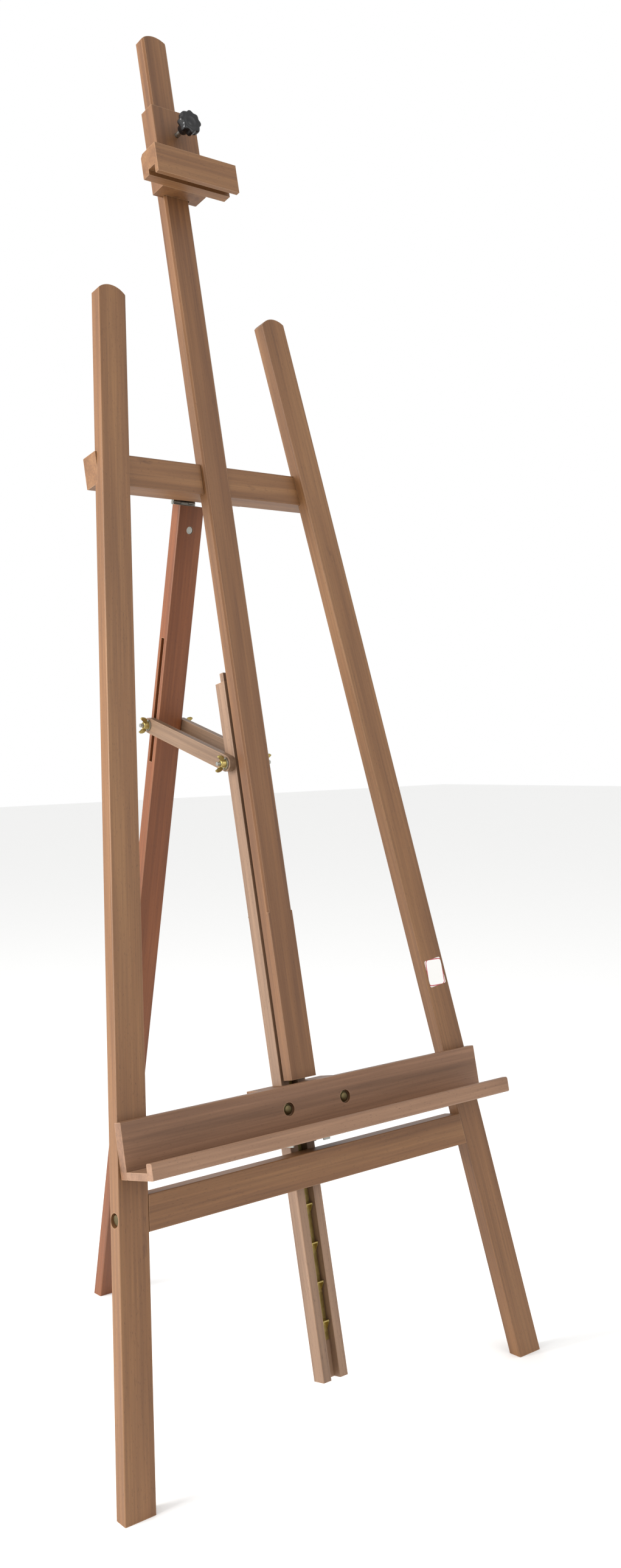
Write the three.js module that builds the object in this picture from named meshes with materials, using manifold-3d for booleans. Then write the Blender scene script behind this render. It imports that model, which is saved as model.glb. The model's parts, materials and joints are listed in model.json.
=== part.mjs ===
// Wooden artist easel: two splayed front legs, a hinged rear leg held by two struts, a sliding mast with a
// canvas clamp, and a tray that climbs a toothed rack. Millimetres, +Z up, the object's front faces -Y.
// The origin is on the floor, half way between the front feet and the rear foot.
//
// The frame leans back, so its pieces are drawn in a leaning group: x to the right, y backwards from the
// front face of the legs, z up along the frame.
import * as THREE from 'three';
import { mergeVertices } from 'three/addons/utils/BufferGeometryUtils.js';
import Module from 'manifold-3d';

const wasm = await Module();
wasm.setup();

// ---- driving dimensions ----
const LEAN = THREE.MathUtils.degToRad(11.2);        // frame leans back from the vertical
const LEG_OPENING = THREE.MathUtils.degToRad(24.6); // rear leg away from the frame
const LEG_SPLAY = 0.125;                            // sideways run of a front leg for each unit of height
const GAP = 0.3;                                    // clearance between pieces that touch
const SLIDE_FIT = 0.6;                              // clearance of pieces that slide on each other
const EDGE = 1.5;                                   // rounded long edges of the wooden bars

const LEG_WIDTH = 45;
const LEG_THICKNESS = 22;
const LEG_LENGTH = 1669;
const LEG_HALF_SPREAD = 355;                        // centre line of a leg at the floor
const LEG_DOME = 10;                                // rise of the rounded top

const CROSSBAR_HEIGHT = 47;
const CROSSBAR_DEPTH = 34;
const UPPER_CROSSBAR_Z = 1364.5;
const UPPER_CROSSBAR_LET_IN = 6;                    // how deep it is let into the legs
const LOWER_CROSSBAR_Z = 337;

const MAST_WIDTH = 45;
const MAST_THICKNESS = 20;
const MAST_FRONT = 7.5;
const MAST_BOTTOM = 487;
const MAST_LENGTH = 1617;
const MAST_DOME = 8;
const MAST_CHAMFER = 3;
const CHAMFER_START = 242;                          // plain stretch of the mast's edge above its foot

const RAIL_WIDTH = 45;
const RAIL_DEPTH = 23;
const RAIL_BOTTOM = 62;
const RAIL_LENGTH = 1018;
const GROOVE_WIDTH = 16;
const BACK_STRIP_WIDTH = 24;
const BACK_STRIP_THICKNESS = 9;
const BACK_STRIP_STANDS_UP = 17;
const CLAMP_SLOT_WIDTH = 7;
const CLAMP_STUD_Z = 727;
const MAST_TRAVEL = 300;
const TONGUE_LENGTH = 170;
const STUD_IN_MAST = 14;

const RACK_PITCH = 55;
const RACK_TEETH = 8;
const RACK_FIRST_TOOTH = 142.8;                     // height of the lowest tooth's flat top
const RACK_FOOT = 114;
const RACK_THICKNESS = 1.6;
const TOOTH_REACH = 8;
const TOOTH_HEIGHT = 18;
const RACK_ABOVE_TEETH = 20;
const TOOTH_IN_USE = 5;                             // the tray hangs on the sixth tooth

const TRAY_LENGTH = 643;
const TRAY_BOARD_HEIGHT = 73;
const TRAY_BOARD_THICKNESS = 15;
const TRAY_Z = 410;
const TRAY_SHELF_DEPTH = 50;
const TRAY_SHELF_THICKNESS = 10;
const TRAY_LIP_THICKNESS = 12.5;
const TRAY_LIP_HEIGHT = 22;
const TRAY_BOLT_SPACING = 103;
const TRAY_SPACER_WIDTH = 46;
const TRAY_BOLT_HEIGHT = 41;                        // of its bolts above the tray's underside

const HEAD_Z = 1841;
const HEAD_HEIGHT = 133;
const HEAD_WIDTH = 80;
const HEAD_DEPTH = 30;
const HEAD_CHANNEL = 8;
const CLAMP_BAR_LENGTH = 148;
const CLAMP_BAR_DEPTH = 40;
const CLAMP_BAR_HEIGHT = 39;
const CLAMP_BAR_BEVEL = 5;                           // upper rear edge of the clamp bar
const CLAMP_LIP_THICKNESS = 7.5;
const CLAMP_LIP_DROP = 6;
const CLAMP_GROOVE_WIDTH = 17;
const CLAMP_GROOVE_DEPTH = 8;
const KNOB_RADIUS = 19;
const KNOB_THICKNESS = 15;
const KNOB_LOBES = 8;
const KNOB_STANDS_OUT = 27;

const HINGE_BOARD_LENGTH = 210;
const HINGE_BOARD_THICKNESS = 22;
const HINGE_BOARD_DEPTH = 50;
const HINGE_BOARD_Z = 1385.3;
const REAR_LEG_WIDTH = RAIL_WIDTH;                  // the struts lie flat against both
const REAR_LEG_THICKNESS = 22;
const HINGE_LEAF_THICKNESS = 2;
const HINGE_LEAF_WIDTH = 40;
const HINGE_LEAF_LENGTH = 46;
const HINGE_PIN_RADIUS = 2.5;
const BARREL_RADIUS = 4;
const REAR_LEG_TOP_GAP = 3;                         // open space between the hinge board and the leg
const SLOT_TOP = 211;                               // distance of the rear leg's slot below the hinge
const SLOT_BOTTOM = 411;
const SLOT_WIDTH = 8;

const STRUT_HEIGHT = 24;
const STRUT_THICKNESS = 11;
const STRUT_FRONT_Z = 957;
const STRUT_REAR_REACH = 351.5;                     // distance of the strut's rear bolt below the hinge
const BOLT_RADIUS = 3;
const WASHER_RADIUS = 9;
const WASHER_THICKNESS = 1.5;
const COUNTERBORE_RADIUS = 9.5;
const SCREW_HEAD_DEPTH = 3;                         // countersink of the wood screws
const WING_SPAN = 27;
const WING_HEIGHT = 14;
const WING_THICKNESS = 2.6;
const HUB_RADIUS = 6.5;
const HUB_HEIGHT = 8;
const STUD_SHOWS = 5;                               // thread that stands out of a wing nut

// ---- materials ----
const finish = (color, roughness, metalness = 0) =>
  new THREE.MeshStandardMaterial({ color, roughness, metalness });
const BEECH = finish(0x9a7453, 0.6);
const BEECH_PALE = finish(0xb8967a, 0.6);
const STEEL = finish(0x9c9c98, 0.35, 1);
const ZINC_YELLOW = finish(0xb09a4e, 0.4, 1);
const BLACK_PLASTIC = finish(0x17171a, 0.45);

// ---- solids ----
const toSolid = (geometry) => {
  const plain = geometry.clone();
  plain.deleteAttribute('normal');
  plain.deleteAttribute('uv');
  const merged = mergeVertices(plain, 1e-4);
  const corners = merged.index.array;
  const faces = [];
  for (let i = 0; i < corners.length; i += 3) {
    const [a, b, c] = [corners[i], corners[i + 1], corners[i + 2]];
    if (a !== b && b !== c && c !== a) faces.push(a, b, c);
  }
  return new wasm.Manifold(new wasm.Mesh({
    numProp: 3,
    vertProperties: new Float32Array(merged.attributes.position.array),
    triVerts: new Uint32Array(faces),
  }));
};
const toGeometry = (solid) => {
  const { vertProperties, triVerts } = solid.getMesh();
  const geometry = new THREE.BufferGeometry();
  geometry.setAttribute('position', new THREE.BufferAttribute(vertProperties, 3));
  geometry.setIndex(new THREE.BufferAttribute(triVerts, 1));
  geometry.computeVertexNormals();
  return geometry;
};
const piece = (parent, name, solid, material) => {
  const mesh = new THREE.Mesh(toGeometry(solid), material);
  mesh.name = name;
  parent.add(mesh);
  return mesh;
};

// Turns a shape drawn along +Z so that it runs along the named axis.
const ALONG = {
  x: new THREE.Matrix4().makeBasis(
    new THREE.Vector3(0, 1, 0), new THREE.Vector3(0, 0, 1), new THREE.Vector3(1, 0, 0)),
  y: new THREE.Matrix4().makeBasis(
    new THREE.Vector3(0, 0, 1), new THREE.Vector3(1, 0, 0), new THREE.Vector3(0, 1, 0)),
  z: new THREE.Matrix4(),
};

// A cylinder from a point, running a length along an axis.
const rod = (axis, radius, from, length, sides = 24) => {
  const geometry = new THREE.CylinderGeometry(radius, radius, length, sides);
  geometry.rotateX(Math.PI / 2).translate(0, 0, length / 2);
  geometry.applyMatrix4(ALONG[axis]).translate(...from);
  return toSolid(geometry);
};
const cone = (axis, radiusFrom, radiusTo, from, length, sides = 24) => {
  const geometry = new THREE.CylinderGeometry(radiusTo, radiusFrom, length, sides);
  geometry.rotateX(Math.PI / 2).translate(0, 0, length / 2);
  geometry.applyMatrix4(ALONG[axis]).translate(...from);
  return toSolid(geometry);
};
const block = (low, high) => {
  const size = high.map((value, i) => value - low[i]);
  const middle = high.map((value, i) => (value + low[i]) / 2);
  return toSolid(new THREE.BoxGeometry(...size).translate(...middle));
};
const extrude = (outline, depth, settings = {}) => {
  const shape = outline instanceof THREE.Shape
    ? outline : new THREE.Shape(outline.map((p) => new THREE.Vector2(...p)));
  return new THREE.ExtrudeGeometry(shape, { depth, bevelEnabled: false, curveSegments: 8, ...settings });
};
const roundedRectangle = (x0, x1, y0, y1, radius) => {
  const shape = new THREE.Shape();
  shape.moveTo(x0 + radius, y0).lineTo(x1 - radius, y0);
  shape.absarc(x1 - radius, y0 + radius, radius, -Math.PI / 2, 0);
  shape.absarc(x1 - radius, y1 - radius, radius, 0, Math.PI / 2);
  shape.absarc(x0 + radius, y1 - radius, radius, Math.PI / 2, Math.PI);
  shape.absarc(x0 + radius, y0 + radius, radius, Math.PI, Math.PI * 1.5);
  return shape;
};
// A wooden bar between two corners, its long edges rounded along the named axis.
const bar = (axis, low, high, radius = EDGE) => {
  const order = { x: [1, 2, 0], y: [2, 0, 1], z: [0, 1, 2] }[axis];
  const [a, b, c] = order;
  const section = roundedRectangle(low[a], high[a], low[b], high[b], radius);
  const geometry = extrude(section, high[c] - low[c], { curveSegments: 3 }).translate(0, 0, low[c]);
  return toSolid(geometry.applyMatrix4(ALONG[axis]));
};
// An outline drawn across (x, z) and given a depth along +Y from y.
const panel = (outline, y, depth) => {
  const geometry = extrude(outline, depth).rotateX(Math.PI / 2).translate(0, y + depth, 0);
  return toSolid(geometry);
};
// An outline drawn across (y, z), as deep along +X as two values say.
const profile = (outline, x0, x1) =>
  toSolid(extrude(outline, x1 - x0).applyMatrix4(ALONG.x).translate(x0, 0, 0));
const placed = (solid, position, rotation = [0, 0, 0]) => {
  const matrix = new THREE.Matrix4().makeRotationFromEuler(new THREE.Euler(...rotation))
    .setPosition(...position);
  return toSolid(toGeometry(solid).applyMatrix4(matrix));
};
// The outline of a bar's rounded top: straight sides and an arc across the width.
const domeOutline = (halfWidth, low, high, rise) => {
  const radius = (halfWidth ** 2 + rise ** 2) / (2 * rise);
  const sweep = Math.asin(halfWidth / radius);
  const shape = new THREE.Shape();
  shape.moveTo(-halfWidth, low).lineTo(halfWidth, low).lineTo(halfWidth, high);
  shape.absarc(0, high + rise - radius, radius, Math.PI / 2 - sweep, Math.PI / 2 + sweep);
  return shape;
};

// ---- places that several pieces share ----
const MAST_REAR = MAST_FRONT + MAST_THICKNESS;
const UPPER_CROSSBAR_FRONT = LEG_THICKNESS - UPPER_CROSSBAR_LET_IN;
const UPPER_CROSSBAR_REAR = UPPER_CROSSBAR_FRONT + CROSSBAR_DEPTH;
const UPPER_CROSSBAR_TOP = UPPER_CROSSBAR_Z + CROSSBAR_HEIGHT;
const LOWER_CROSSBAR_TOP = LOWER_CROSSBAR_Z + CROSSBAR_HEIGHT;
const RAIL_FRONT = CROSSBAR_DEPTH + GAP;
const RAIL_REAR = RAIL_FRONT + RAIL_DEPTH;
const RAIL_TOP = RAIL_BOTTOM + RAIL_LENGTH;
const BACK_STRIP_FRONT = RAIL_REAR - BACK_STRIP_THICKNESS;
const RACK_FACE = BACK_STRIP_FRONT - GAP - RACK_THICKNESS;
const STRUT_FRONT_Y = BACK_STRIP_FRONT - BOLT_RADIUS - 3 * GAP;
const STRUT_INNER = RAIL_WIDTH / 2 + GAP;
const STRUT_OUTER = STRUT_INNER + STRUT_THICKNESS;
const HINGE_BOARD_FRONT = UPPER_CROSSBAR_REAR + GAP;
const HINGE_BOARD_REAR = HINGE_BOARD_FRONT + HINGE_BOARD_DEPTH;
const PIVOT_Y = HINGE_BOARD_REAR + GAP + BARREL_RADIUS;
const PIVOT_Z = HINGE_BOARD_Z - GAP * 4;
const REAR_LEG_BACK = -(BARREL_RADIUS + GAP);       // rear face of the rear leg, seen from the hinge pin
const REAR_LEG_FRONT = REAR_LEG_BACK - REAR_LEG_THICKNESS;
const REAR_LEG_MIDDLE = (REAR_LEG_BACK + REAR_LEG_FRONT) / 2;
const SIDES = [['left', -1], ['right', 1]];

// Height of the frame's base line where the rear foot stands, and the foot's place on the floor.
const REAR_LEG_TILT = LEG_OPENING - LEAN;
const PIVOT_FLOOR_Y = PIVOT_Y * Math.cos(LEAN) + PIVOT_Z * Math.sin(LEAN);
const PIVOT_HEIGHT = PIVOT_Z * Math.cos(LEAN) - PIVOT_Y * Math.sin(LEAN);
const rearLegFloor = (y) => -(PIVOT_HEIGHT + y * Math.sin(REAR_LEG_TILT)) / Math.cos(REAR_LEG_TILT);
const footY = (y) =>
  PIVOT_FLOOR_Y + y * Math.cos(REAR_LEG_TILT) - rearLegFloor(y) * Math.sin(REAR_LEG_TILT);
const DEPTH_ON_FLOOR = footY(REAR_LEG_BACK);

const easel = new THREE.Group();
const frame = new THREE.Group();
frame.rotation.x = -LEAN;
frame.position.y = -DEPTH_ON_FLOOR / 2;
easel.add(frame);

// ---- cutters and hardware that are used more than once ----
const belowFloor = placed(block([-900, -900, -300], [900, 900, 0]), [0, 0, 0], [LEAN, 0, 0]);
const hole = (axis, radius, from, length) => rod(axis, radius + GAP, from, length);
const washer = (axis, from, radius = WASHER_RADIUS) => rod(axis, radius, from, WASHER_THICKNESS)
  .subtract(hole(axis, BOLT_RADIUS, from, WASHER_THICKNESS));

// A wing nut drawn on +Z: a tapered hub with two upswept wings.
const wingNut = () => {
  const wing = new THREE.Shape();
  wing.moveTo(HUB_RADIUS * 0.4, 1.5).lineTo(HUB_RADIUS, 1.5);
  wing.quadraticCurveTo(WING_SPAN / 2, 3, WING_SPAN / 2, WING_HEIGHT - 3);
  wing.quadraticCurveTo(WING_SPAN / 2 - 1, WING_HEIGHT, WING_SPAN / 2 - 4, WING_HEIGHT - 1);
  wing.quadraticCurveTo(HUB_RADIUS + 1, HUB_HEIGHT - 2, HUB_RADIUS * 0.4, HUB_HEIGHT - 1);
  const onePlate = panel(wing, -WING_THICKNESS / 2, WING_THICKNESS);
  const otherPlate = placed(onePlate, [0, 0, 0], [0, 0, Math.PI]);
  const hub = cone('z', HUB_RADIUS, HUB_RADIUS - 1.5, [0, 0, 0], HUB_HEIGHT);
  return hub.add(onePlate).add(otherPlate).subtract(hole('z', BOLT_RADIUS, [0, 0, -1], HUB_HEIGHT + 2));
};
const TURN = { left: [0, -Math.PI / 2, 0], right: [0, Math.PI / 2, 0], back: [-Math.PI / 2, 0, 0] };

// ---- front legs ----
const crossbarHalf = (z) => LEG_HALF_SPREAD - LEG_SPLAY * z + (LEG_WIDTH / 2) * Math.hypot(1, LEG_SPLAY);
const LOWER_BOLT_Z = LOWER_CROSSBAR_Z + CROSSBAR_HEIGHT / 2;
const LOWER_BOLT_Y = LEG_THICKNESS / 2;
const LOWER_BOLT_HEAD = { radius: 6.5, height: 5, depth: 8 };
const LOWER_BOLT_REACH = 60;
const lowerBoltSeat = crossbarHalf(LOWER_BOLT_Z) - LOWER_BOLT_HEAD.depth;
const UPPER_SCREW = { radius: 2.5, head: 5, length: CROSSBAR_DEPTH + 10, tip: UPPER_CROSSBAR_FRONT - 10 };
const upperScrewX = crossbarHalf(UPPER_CROSSBAR_Z + CROSSBAR_HEIGHT / 2) - LEG_WIDTH / 2;
const upperScrewZ = UPPER_CROSSBAR_Z + CROSSBAR_HEIGHT / 2;

for (const [side, sign] of SIDES) {
  const long = bar('z', [-LEG_WIDTH / 2, 0, -30], [LEG_WIDTH / 2, LEG_THICKNESS, LEG_LENGTH + LEG_DOME + 1]);
  const outline = domeOutline(LEG_WIDTH / 2, -31, LEG_LENGTH, LEG_DOME);
  const domed = long.intersect(panel(outline, -1, LEG_THICKNESS + 2));
  const splayed = placed(domed, [sign * LEG_HALF_SPREAD, 0, 0], [0, -sign * Math.atan(LEG_SPLAY), 0]);
  const housing = block([-400, UPPER_CROSSBAR_FRONT - GAP, UPPER_CROSSBAR_Z - GAP],
    [400, LEG_THICKNESS + 1, UPPER_CROSSBAR_TOP + GAP]);
  const outward = (x, length) => [sign > 0 ? x : -x - length, LOWER_BOLT_Y, LOWER_BOLT_Z];
  const leg = splayed.subtract(belowFloor).subtract(housing)
    .subtract(rod('x', COUNTERBORE_RADIUS, outward(lowerBoltSeat, 40), 40))
    .subtract(hole('x', BOLT_RADIUS, outward(lowerBoltSeat - LEG_WIDTH, LEG_WIDTH + 1), LEG_WIDTH + 1))
    .subtract(hole('y', UPPER_SCREW.radius, [sign * upperScrewX, UPPER_SCREW.tip - 2, upperScrewZ], LEG_THICKNESS));
  piece(frame, `leg_${side}`, leg, BEECH);
}

// ---- crossbars ----
const upperHalf = crossbarHalf(UPPER_CROSSBAR_Z + CROSSBAR_HEIGHT / 2);
const mastNotch = block([-MAST_WIDTH / 2 - SLIDE_FIT, 0, UPPER_CROSSBAR_Z - 5],
  [MAST_WIDTH / 2 + SLIDE_FIT, MAST_REAR + SLIDE_FIT, UPPER_CROSSBAR_TOP + 5]);
let upperCrossbar = bar('x', [-upperHalf, UPPER_CROSSBAR_FRONT, UPPER_CROSSBAR_Z],
  [upperHalf, UPPER_CROSSBAR_REAR, UPPER_CROSSBAR_TOP], 1.5).subtract(mastNotch);
for (const [side, sign] of SIDES) {
  const at = [sign * upperScrewX, UPPER_CROSSBAR_REAR - UPPER_SCREW.length, upperScrewZ];
  const headAt = [at[0], UPPER_CROSSBAR_REAR - 3, upperScrewZ];
  upperCrossbar = upperCrossbar.subtract(hole('y', UPPER_SCREW.radius, at, UPPER_SCREW.length + 1))
    .subtract(rod('y', UPPER_SCREW.head + GAP, headAt, 4));
  const screw = rod('y', UPPER_SCREW.radius, at, UPPER_SCREW.length - 2)
    .add(cone('y', UPPER_SCREW.radius, UPPER_SCREW.head, [at[0], headAt[1] + GAP, at[2]], 2.5));
  piece(frame, `upper_crossbar_screw_${side}`, screw, STEEL);
}
piece(frame, 'upper_crossbar', upperCrossbar, BEECH);

const lowerOutline = [-1, 1].flatMap((end) => {
  const edge = (z) => end * (crossbarHalf(z) - LEG_WIDTH * Math.hypot(1, LEG_SPLAY) - GAP);
  const corners = [LOWER_CROSSBAR_Z, LOWER_CROSSBAR_TOP].map((z) => [edge(z), z]);
  return end > 0 ? corners : corners.reverse();
});
let lowerCrossbar = panel(lowerOutline, 0, CROSSBAR_DEPTH).intersect(
  bar('x', [-400, 0, LOWER_CROSSBAR_Z], [400, CROSSBAR_DEPTH, LOWER_CROSSBAR_TOP], 1.5));
const RAIL_SCREW = { radius: 2, head: 4, reach: 20, x: BACK_STRIP_WIDTH / 2 + 5, z: LOWER_BOLT_Z };
for (const [side, sign] of SIDES) {
  const inner = lowerBoltSeat - LOWER_BOLT_REACH;
  const from = (x, length) => [sign > 0 ? x : -x - length, LOWER_BOLT_Y, LOWER_BOLT_Z];
  lowerCrossbar = lowerCrossbar
    .subtract(hole('x', BOLT_RADIUS, from(inner - 1, LOWER_BOLT_REACH), LOWER_BOLT_REACH))
    .subtract(hole('y', RAIL_SCREW.radius, [sign * RAIL_SCREW.x, RAIL_FRONT - RAIL_SCREW.reach, RAIL_SCREW.z],
      RAIL_SCREW.reach + 1));
  const bolt = rod('x', BOLT_RADIUS, from(inner, LOWER_BOLT_REACH + 1), LOWER_BOLT_REACH + 1)
    .add(rod('x', LOWER_BOLT_HEAD.radius, from(lowerBoltSeat + GAP, LOWER_BOLT_HEAD.height),
      LOWER_BOLT_HEAD.height));
  piece(frame, `lower_crossbar_bolt_${side}`, bolt, STEEL);
}
piece(frame, 'lower_crossbar', lowerCrossbar, BEECH);

// ---- rail: two stiles with a groove between them, closed behind by a slotted strip ----
const STILE_WIDTH = (RAIL_WIDTH - GROOVE_WIDTH) / 2;
const frontStudInner = BACK_STRIP_WIDTH / 2 - 1;
const rebate = block([-BACK_STRIP_WIDTH / 2 - GAP, BACK_STRIP_FRONT - GAP, RAIL_BOTTOM - 1],
  [BACK_STRIP_WIDTH / 2 + GAP, RAIL_REAR + 1, RAIL_TOP + 1]);
for (const [side, sign] of SIDES) {
  const inner = (sign * GROOVE_WIDTH) / 2;
  const outer = inner + sign * STILE_WIDTH;
  const stile = bar('z', [Math.min(inner, outer), RAIL_FRONT, RAIL_BOTTOM],
    [Math.max(inner, outer), RAIL_REAR, RAIL_TOP], 1.2);
  const studHole = RAIL_WIDTH / 2 - frontStudInner + 2;
  const studFrom = sign > 0 ? frontStudInner - 1 : 1 - frontStudInner - studHole;
  const screwX = sign * RAIL_SCREW.x;
  piece(frame, `rail_stile_${side}`, stile.subtract(rebate)
    .subtract(hole('x', BOLT_RADIUS, [studFrom, STRUT_FRONT_Y, STRUT_FRONT_Z], studHole))
    .subtract(hole('y', RAIL_SCREW.radius, [screwX, RAIL_FRONT - 1, RAIL_SCREW.z], RAIL_DEPTH + 2))
    .subtract(rod('y', RAIL_SCREW.head + GAP, [screwX, RAIL_REAR - SCREW_HEAD_DEPTH, RAIL_SCREW.z], 4)), BEECH_PALE);
  const screwAt = [screwX, RAIL_FRONT - RAIL_SCREW.reach, RAIL_SCREW.z];
  const screwLength = RAIL_SCREW.reach + RAIL_DEPTH - 2;
  const screw = rod('y', RAIL_SCREW.radius, screwAt, screwLength)
    .add(cone('y', RAIL_SCREW.radius, RAIL_SCREW.head, [screwX, RAIL_REAR - SCREW_HEAD_DEPTH + GAP, RAIL_SCREW.z], 2));
  piece(frame, `rail_screw_${side}`, screw, STEEL);
}
const SLOT_SPARE = 4;                               // room beyond the stud at each end of the slot
const slotLow = CLAMP_STUD_Z - BOLT_RADIUS - SLOT_SPARE;
const slotHigh = CLAMP_STUD_Z + MAST_TRAVEL + BOLT_RADIUS + SLOT_SPARE;
const backStrip = bar('z', [-BACK_STRIP_WIDTH / 2, BACK_STRIP_FRONT, RAIL_BOTTOM],
  [BACK_STRIP_WIDTH / 2, RAIL_REAR, RAIL_TOP + BACK_STRIP_STANDS_UP], 0.8);
const clampSlot = block([-CLAMP_SLOT_WIDTH / 2, BACK_STRIP_FRONT - 1, slotLow],
  [CLAMP_SLOT_WIDTH / 2, RAIL_REAR + 1, slotHigh]);
piece(frame, 'rail_back_strip', backStrip.subtract(clampSlot), BEECH_PALE);

// ---- toothed rack in the groove: a steel strip with tabs bent forward, flat on top ----
const rackTop = RACK_FIRST_TOOTH + (RACK_TEETH - 1) * RACK_PITCH + RACK_ABOVE_TEETH;
let rack = block([-GROOVE_WIDTH / 2 + 1, RACK_FACE, RACK_FOOT],
  [GROOVE_WIDTH / 2 - 1, RACK_FACE + RACK_THICKNESS, rackTop]);
for (let i = 0; i < RACK_TEETH; i += 1) {
  const top = RACK_FIRST_TOOTH + i * RACK_PITCH;
  const tab = [
    [RACK_FACE + 0.5, top], [RACK_FACE - TOOTH_REACH, top], [RACK_FACE - TOOTH_REACH, top - RACK_THICKNESS],
    [RACK_FACE + 0.5, top - TOOTH_HEIGHT],
  ];
  rack = rack.add(profile(tab, -GROOVE_WIDTH / 2 + 2.5, GROOVE_WIDTH / 2 - 2.5));
}
piece(frame, 'ratchet_rack', rack, ZINC_YELLOW);

// ---- mast with its tongue, clamping stud and wing nut ----
const mastTop = MAST_BOTTOM + MAST_LENGTH;
const mastShape = bar('z', [-MAST_WIDTH / 2, MAST_FRONT, MAST_BOTTOM],
  [MAST_WIDTH / 2, MAST_REAR, mastTop + MAST_DOME + 1], 1)
  .intersect(panel(domeOutline(MAST_WIDTH / 2, MAST_BOTTOM - 1, mastTop, MAST_DOME),
    MAST_FRONT - 1, MAST_THICKNESS + 2));
const chamferCut = (x) => {
  const half = MAST_CHAMFER / Math.SQRT2;
  return placed(block([-half, -half, 0], [half, half, MAST_LENGTH]),
    [x, MAST_FRONT, MAST_BOTTOM + CHAMFER_START], [0, 0, Math.PI / 4]);
};
const tongueRear = BACK_STRIP_FRONT - SLIDE_FIT;
piece(frame, 'mast', mastShape.subtract(chamferCut(-MAST_WIDTH / 2)).subtract(chamferCut(MAST_WIDTH / 2))
  .subtract(hole('y', BOLT_RADIUS, [0, MAST_REAR - STUD_IN_MAST, CLAMP_STUD_Z], STUD_IN_MAST + 1)), BEECH);
piece(frame, 'mast_tongue', bar('z',
  [-GROOVE_WIDTH / 2 + SLIDE_FIT, MAST_REAR + GAP, CLAMP_STUD_Z - TONGUE_LENGTH / 2],
  [GROOVE_WIDTH / 2 - SLIDE_FIT, tongueRear, CLAMP_STUD_Z + TONGUE_LENGTH / 2], 0.8)
  .subtract(hole('y', BOLT_RADIUS, [0, MAST_REAR, CLAMP_STUD_Z], tongueRear - MAST_REAR + 1)), BEECH_PALE);
const mastStudFrom = MAST_REAR - STUD_IN_MAST + 1;
const mastNutSeat = RAIL_REAR + GAP + WASHER_THICKNESS + GAP;
piece(frame, 'mast_clamp_stud', rod('y', BOLT_RADIUS, [0, mastStudFrom, CLAMP_STUD_Z],
  mastNutSeat + HUB_HEIGHT + STUD_SHOWS - mastStudFrom), STEEL);
piece(frame, 'mast_clamp_washer', washer('y', [0, RAIL_REAR + GAP, CLAMP_STUD_Z]), STEEL);
piece(frame, 'mast_wing_nut', placed(wingNut(), [0, mastNutSeat, CLAMP_STUD_Z], TURN.back), ZINC_YELLOW);

// ---- tray: backboard, shelf and lip, held to the rail by spacers, a steel strap and two bolts ----
const TRAY_BOARD_REAR = -SLIDE_FIT;                  // it slides in front of the legs
const TRAY_BOARD_FRONT = TRAY_BOARD_REAR - TRAY_BOARD_THICKNESS;
const TRAY_BOLT_Z = TRAY_Z + TRAY_BOLT_HEIGHT;
const STRAP = { thickness: 2.5, height: 30 };
const strapFront = RAIL_REAR + SLIDE_FIT;
const strapRear = strapFront + STRAP.thickness;
const trayHalf = TRAY_LENGTH / 2;
const shelfFront = TRAY_BOARD_FRONT - GAP - TRAY_SHELF_DEPTH;
const trayBoltX = TRAY_BOLT_SPACING / 2;
let backboard = bar('x', [-trayHalf, TRAY_BOARD_FRONT, TRAY_Z],
  [trayHalf, TRAY_BOARD_REAR, TRAY_Z + TRAY_BOARD_HEIGHT]);
const TRAY_HEAD = { radius: 8, height: 4, crown: 1.5, depth: 5 };
for (const [side, sign] of SIDES) {
  const x = sign * trayBoltX;
  const sink = rod('y', COUNTERBORE_RADIUS, [x, TRAY_BOARD_FRONT - 1, TRAY_BOLT_Z], TRAY_HEAD.depth + 1);
  backboard = backboard.subtract(sink)
    .subtract(hole('y', BOLT_RADIUS, [x, TRAY_BOARD_FRONT, TRAY_BOLT_Z], TRAY_BOARD_THICKNESS + 1));
  const headRear = TRAY_BOARD_FRONT + TRAY_HEAD.depth - GAP;
  const headFace = headRear - TRAY_HEAD.height;
  const bolt = rod('y', BOLT_RADIUS, [x, headRear - 1, TRAY_BOLT_Z], strapRear + 8 - headRear)
    .add(cone('y', TRAY_HEAD.radius - 2.5, TRAY_HEAD.radius, [x, headFace, TRAY_BOLT_Z], TRAY_HEAD.crown))
    .add(rod('y', TRAY_HEAD.radius, [x, headFace + TRAY_HEAD.crown, TRAY_BOLT_Z], headRear - headFace - TRAY_HEAD.crown));
  const inner = Math.max(RAIL_WIDTH, MAST_WIDTH) / 2 + SLIDE_FIT;
  const low = sign > 0 ? inner : -inner - TRAY_SPACER_WIDTH;
  const spacer = bar('z', [low, TRAY_BOARD_REAR + GAP, TRAY_Z],
    [low + TRAY_SPACER_WIDTH, strapFront - GAP, TRAY_Z + TRAY_BOARD_HEIGHT - 3])
    .subtract(hole('y', BOLT_RADIUS, [x, TRAY_BOARD_REAR, TRAY_BOLT_Z], strapFront - TRAY_BOARD_REAR));
  const nut = rod('y', 5.8, [x, strapRear + GAP, TRAY_BOLT_Z], 5, 6)
    .subtract(hole('y', BOLT_RADIUS, [x, strapRear, TRAY_BOLT_Z], 6));
  piece(frame, `tray_bolt_${side}`, bolt, STEEL);
  piece(frame, `tray_spacer_${side}`, spacer, BEECH_PALE);
  piece(frame, `tray_nut_${side}`, nut, STEEL);
}
piece(frame, 'tray_backboard', backboard, BEECH);
piece(frame, 'tray_shelf', bar('x', [-trayHalf, shelfFront, TRAY_Z],
  [trayHalf, TRAY_BOARD_FRONT - GAP, TRAY_Z + TRAY_SHELF_THICKNESS], 1), BEECH_PALE);
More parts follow.
